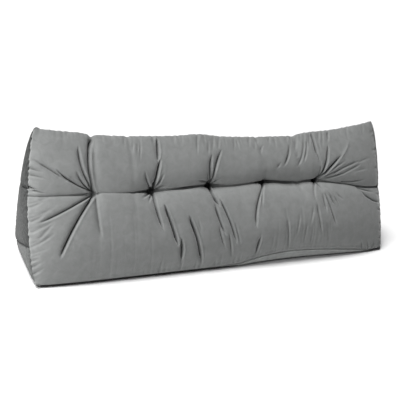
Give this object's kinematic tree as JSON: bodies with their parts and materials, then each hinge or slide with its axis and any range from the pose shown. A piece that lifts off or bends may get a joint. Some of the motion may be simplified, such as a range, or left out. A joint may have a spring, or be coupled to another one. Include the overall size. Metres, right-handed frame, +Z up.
{
  "type": "headboard wedge cushion",
  "caption": "Long wedge cushion for the head of a bed: upright back, leaning tufted front crowned in a lower and an upper lobe, flat base, matte grey velvet.",
  "frame": {"origin": "on the floor plane under the middle of the cushion", "axes": "+X along the length, +Y towards the upright back, +Z up; the tufted front faces -Y"},
  "size_m": [1.564, 0.308, 0.485],
  "materials": {
    "front_velvet": "matte velvet",
    "panel_velvet": "matte velvet"
  },
  "bodies": {
    "root": {"cushion": "front_velvet", "back_panel": "panel_velvet", "base_panel": "panel_velvet", "end_panel_left": "panel_velvet", "end_panel_right": "panel_velvet"}
  },
  "joints": []
}
